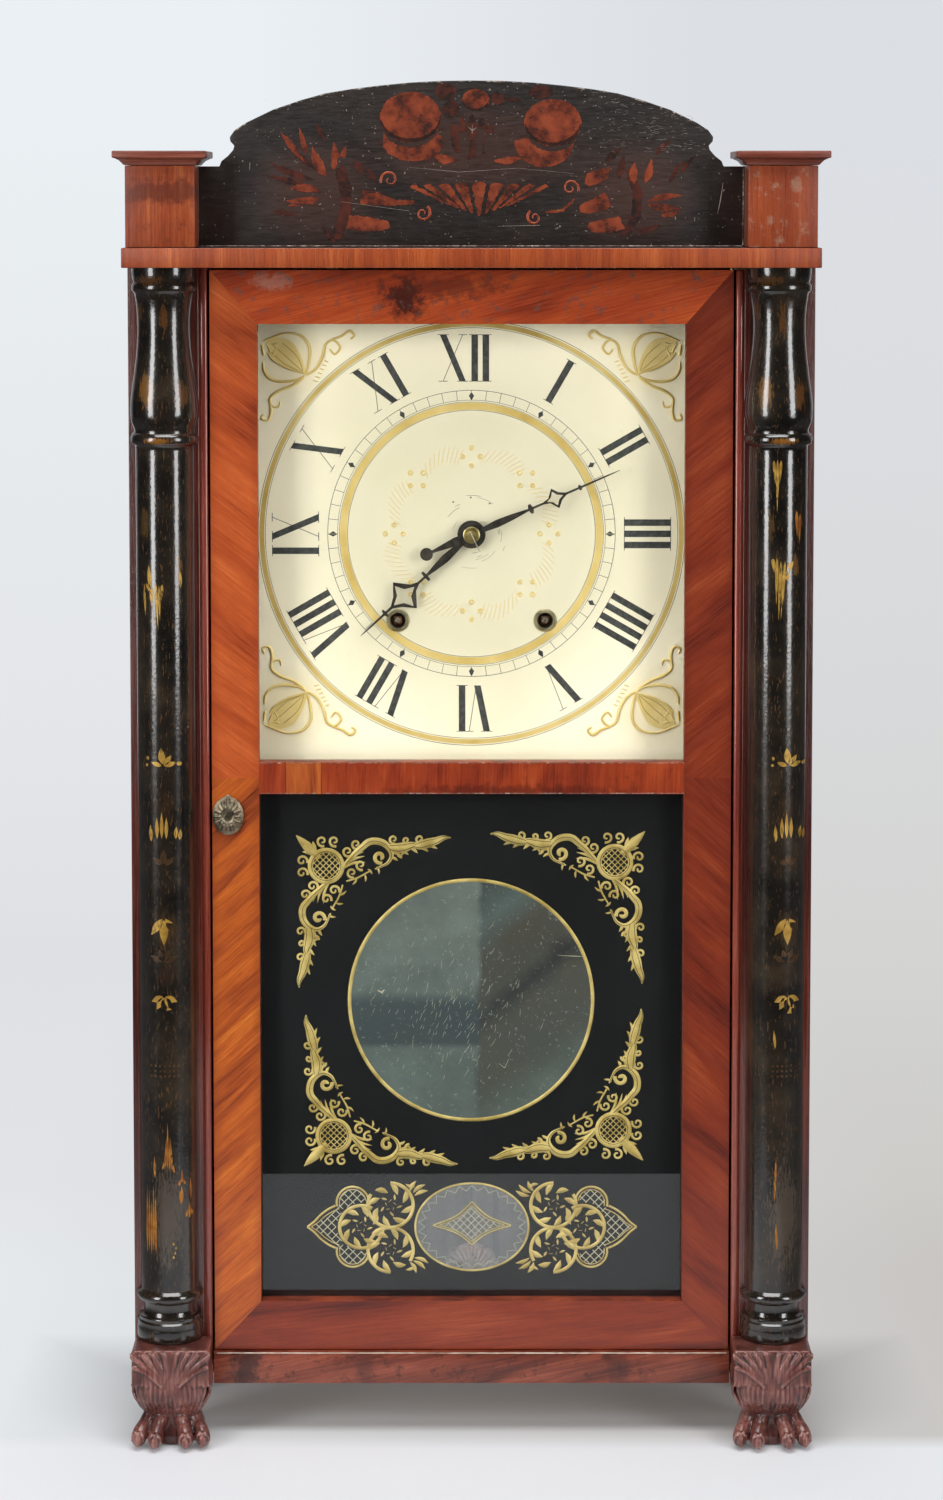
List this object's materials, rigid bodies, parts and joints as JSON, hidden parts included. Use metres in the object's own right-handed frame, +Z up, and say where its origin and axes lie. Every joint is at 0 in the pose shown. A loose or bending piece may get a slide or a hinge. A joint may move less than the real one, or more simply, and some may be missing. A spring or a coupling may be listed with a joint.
{
  "type": "column and splat shelf clock",
  "caption": "Tall wooden shelf clock with half columns, stencilled splat, glazed door, painted dial, paw feet and a weight-driven wooden movement with pendulum and bell.",
  "frame": {"origin": "centre of the overall box's footprint, on the floor under the feet", "axes": "+Z up, -Y the front with the door and dial, +X to the right as seen from the front"},
  "size_m": [0.4556, 0.1596, 0.8897],
  "materials": {
    "mahogany": "polished",
    "dark_mahogany": "polished",
    "pine": "planed",
    "oak": "planed",
    "cherry": "planed",
    "black_lacquer": "glossy lacquer",
    "carved_wood": "varnished",
    "dial_paint": "painted",
    "clear_glass": "clear",
    "tablet_glass": "painted on its back",
    "brass": "satin",
    "old_brass": "worn",
    "bronzed_steel": "bronzed",
    "iron": "as cast",
    "linen": "twisted cord"
  },
  "bodies": {
    "case": {"backboard": "pine", "bottom_board": "pine", "chute_board_left": "pine", "chute_board_right": "pine", "side_left": "mahogany", "side_right": "mahogany", "base_rail": "mahogany", "top_board": "mahogany", "plinth_left": "mahogany", "plinth_right": "mahogany", "stile_left": "dark_mahogany", "stile_right": "dark_mahogany", "cap_left": "dark_mahogany", "cap_right": "dark_mahogany", "splat": "black_lacquer", "column_left": "black_lacquer", "column_right": "black_lacquer", "rear_foot_left": "black_lacquer", "rear_foot_right": "black_lacquer", "paw_foot_left": "carved_wood", "paw_foot_right": "carved_wood", "dial_board": "dial_paint", "hinge_pin_top": "brass", "hinge_pin_bottom": "brass", "winding_eyelet_left": "brass", "winding_eyelet_right": "brass", "front_plate": "oak", "back_plate": "oak", "bell": "iron", "cord_left": "linen", "cord_right": "linen"},
    "door": {"door_stile_left": "mahogany", "door_stile_right": "mahogany", "door_top_rail": "mahogany", "door_middle_rail": "mahogany", "door_bottom_rail": "mahogany", "upper_glass": "clear_glass", "tablet_glass": "tablet_glass"},
    "knob": {"door_knob": "old_brass"},
    "third_wheel": {"time_third_wheel": "cherry"},
    "centre": {"centre_arbor": "brass", "minute_hand": "bronzed_steel"},
    "hour": {"hour_hand": "bronzed_steel"},
    "second_wheel": {"time_second_wheel": "cherry"},
    "great_wheel": {"time_great_wheel": "cherry"},
    "escape": {"escape_wheel": "brass"},
    "time_winding": {"time_drum": "cherry"},
    "pin_train": {"pin_wheel": "cherry"},
    "strike_great": {"strike_great_wheel": "cherry"},
    "fly": {"fly": "cherry"},
    "count": {"count_wheel": "cherry"},
    "strike_winding": {"strike_drum": "cherry"},
    "hammer": {"hammer": "iron"},
    "verge": {"verge": "bronzed_steel"},
    "pendulum": {"pendulum_rod": "brass"},
    "bob": {"pendulum_bob": "brass"},
    "weight_right": {"weight_right": "iron"},
    "weight_left": {"weight_left": "iron"},
    "pulley_right": {"pulley_right": "brass"},
    "pulley_left": {"pulley_left": "brass"}
  },
  "joints": [
    {"name": "door_hinge", "type": "hinge", "parent": "case", "child": "door", "pos_m": [0.168, -0.03685, 0.4], "axis": [0, 0, 1], "range_deg": [0, 90]},
    {"name": "knob_turn", "type": "hinge", "parent": "door", "child": "knob", "pos_m": [-0.159, -0.03, 0.412], "axis": [0, -1, 0], "range_deg": [0, 90]},
    {"name": "third_wheel_spin", "type": "hinge", "parent": "case", "child": "third_wheel", "pos_m": [0.0308, 0.03386, 0.61264], "axis": [0, 1, 0], "continuous": true},
    {"name": "centre_spin", "type": "hinge", "parent": "case", "child": "centre", "pos_m": [0, 0, 0.59402], "axis": [0, 1, 0], "continuous": true},
    {"name": "hour_spin", "type": "hinge", "parent": "case", "child": "hour", "pos_m": [0, -0.01, 0.59402], "axis": [0, 1, 0], "continuous": true},
    {"name": "second_wheel_spin", "type": "hinge", "parent": "case", "child": "second_wheel", "pos_m": [0.04341, 0.03386, 0.57843], "axis": [0, 1, 0], "continuous": true},
    {"name": "great_wheel_spin", "type": "hinge", "parent": "case", "child": "great_wheel", "pos_m": [0.0485, 0.03386, 0.53672], "axis": [0, 1, 0], "continuous": true},
    {"name": "escape_spin", "type": "hinge", "parent": "case", "child": "escape", "pos_m": [0, 0.03386, 0.63], "axis": [0, 1, 0], "continuous": true},
    {"name": "pendulum_swing", "type": "hinge", "parent": "case", "child": "pendulum", "pos_m": [0, 0, 0.672], "axis": [0, 1, 0], "range_deg": [-3.5, 3.5]},
    {"name": "verge_rock", "type": "hinge", "parent": "case", "child": "verge", "pos_m": [0, 0.005, 0.656], "axis": [0, 1, 0], "range_deg": [-5.2, 5.2]},
    {"name": "bob_slide", "type": "slide", "parent": "pendulum", "child": "bob", "axis": [0, 0, 1], "range_m": [0, 0.008]},
    {"name": "pin_wheel_spin", "type": "hinge", "parent": "case", "child": "pin_train", "pos_m": [-0.04341, 0.03386, 0.57843], "axis": [0, 1, 0], "continuous": true},
    {"name": "strike_great_spin", "type": "hinge", "parent": "case", "child": "strike_great", "pos_m": [-0.0485, 0.03386, 0.53672], "axis": [0, 1, 0], "continuous": true},
    {"name": "fly_spin", "type": "hinge", "parent": "case", "child": "fly", "pos_m": [-0.05801, 0.03386, 0.61201], "axis": [0, 1, 0], "continuous": true},
    {"name": "count_spin", "type": "hinge", "parent": "case", "child": "count", "pos_m": [-0.05199, 0.008, 0.57253], "axis": [0, 1, 0], "continuous": true},
    {"name": "hammer_lift", "type": "hinge", "parent": "case", "child": "hammer", "pos_m": [-0.008, 0.03386, 0.515], "axis": [0, 1, 0], "range_deg": [0, 20]},
    {"name": "weight_right_rise", "type": "slide", "parent": "case", "child": "weight_right", "axis": [0, 0, 1], "range_m": [0, 0.54], "deforming": ["cord_right"]},
    {"name": "time_drum_wind", "type": "hinge", "parent": "case", "child": "time_winding", "pos_m": [0.0485, 0.03386, 0.53672], "axis": [0, 1, 0], "range_deg": [0, 2520]},
    {"name": "pulley_right_spin", "type": "hinge", "parent": "case", "child": "pulley_right", "pos_m": [0.14486, 0.03386, 0.7734], "axis": [0, 1, 0], "range_deg": [-4130, 0]},
    {"name": "weight_left_rise", "type": "slide", "parent": "case", "child": "weight_left", "axis": [0, 0, 1], "range_m": [0, 0.54], "deforming": ["cord_left"]},
    {"name": "strike_drum_wind", "type": "hinge", "parent": "case", "child": "strike_winding", "pos_m": [-0.0485, 0.03386, 0.53672], "axis": [0, -1, 0], "range_deg": [0, 2520]},
    {"name": "pulley_left_spin", "type": "hinge", "parent": "case", "child": "pulley_left", "pos_m": [-0.14486, 0.03386, 0.7734], "axis": [0, -1, 0], "range_deg": [-4130, 0]}
  ],
  "couplings": [
    {"joint": "centre_spin", "follows": "third_wheel_spin", "ratio": -0.11111},
    {"joint": "hour_spin", "follows": "third_wheel_spin", "ratio": -0.0092593},
    {"joint": "second_wheel_spin", "follows": "third_wheel_spin", "ratio": -0.16667},
    {"joint": "great_wheel_spin", "follows": "third_wheel_spin", "ratio": 0.027778},
    {"joint": "escape_spin", "follows": "third_wheel_spin", "ratio": -6.5},
    {"joint": "verge_rock", "follows": "pendulum_swing", "ratio": 1.4706},
    {"joint": "strike_great_spin", "follows": "pin_wheel_spin", "ratio": -0.15385},
    {"joint": "fly_spin", "follows": "pin_wheel_spin", "ratio": -6},
    {"joint": "count_spin", "follows": "pin_wheel_spin", "ratio": 0.051282},
    {"joint": "time_drum_wind", "follows": "weight_right_rise", "rad_per_m": 81.301},
    {"joint": "pulley_right_spin", "follows": "weight_right_rise", "rad_per_m": -133.33},
    {"joint": "strike_drum_wind", "follows": "weight_left_rise", "rad_per_m": 81.301},
    {"joint": "pulley_left_spin", "follows": "weight_left_rise", "rad_per_m": -133.33}
  ]
}
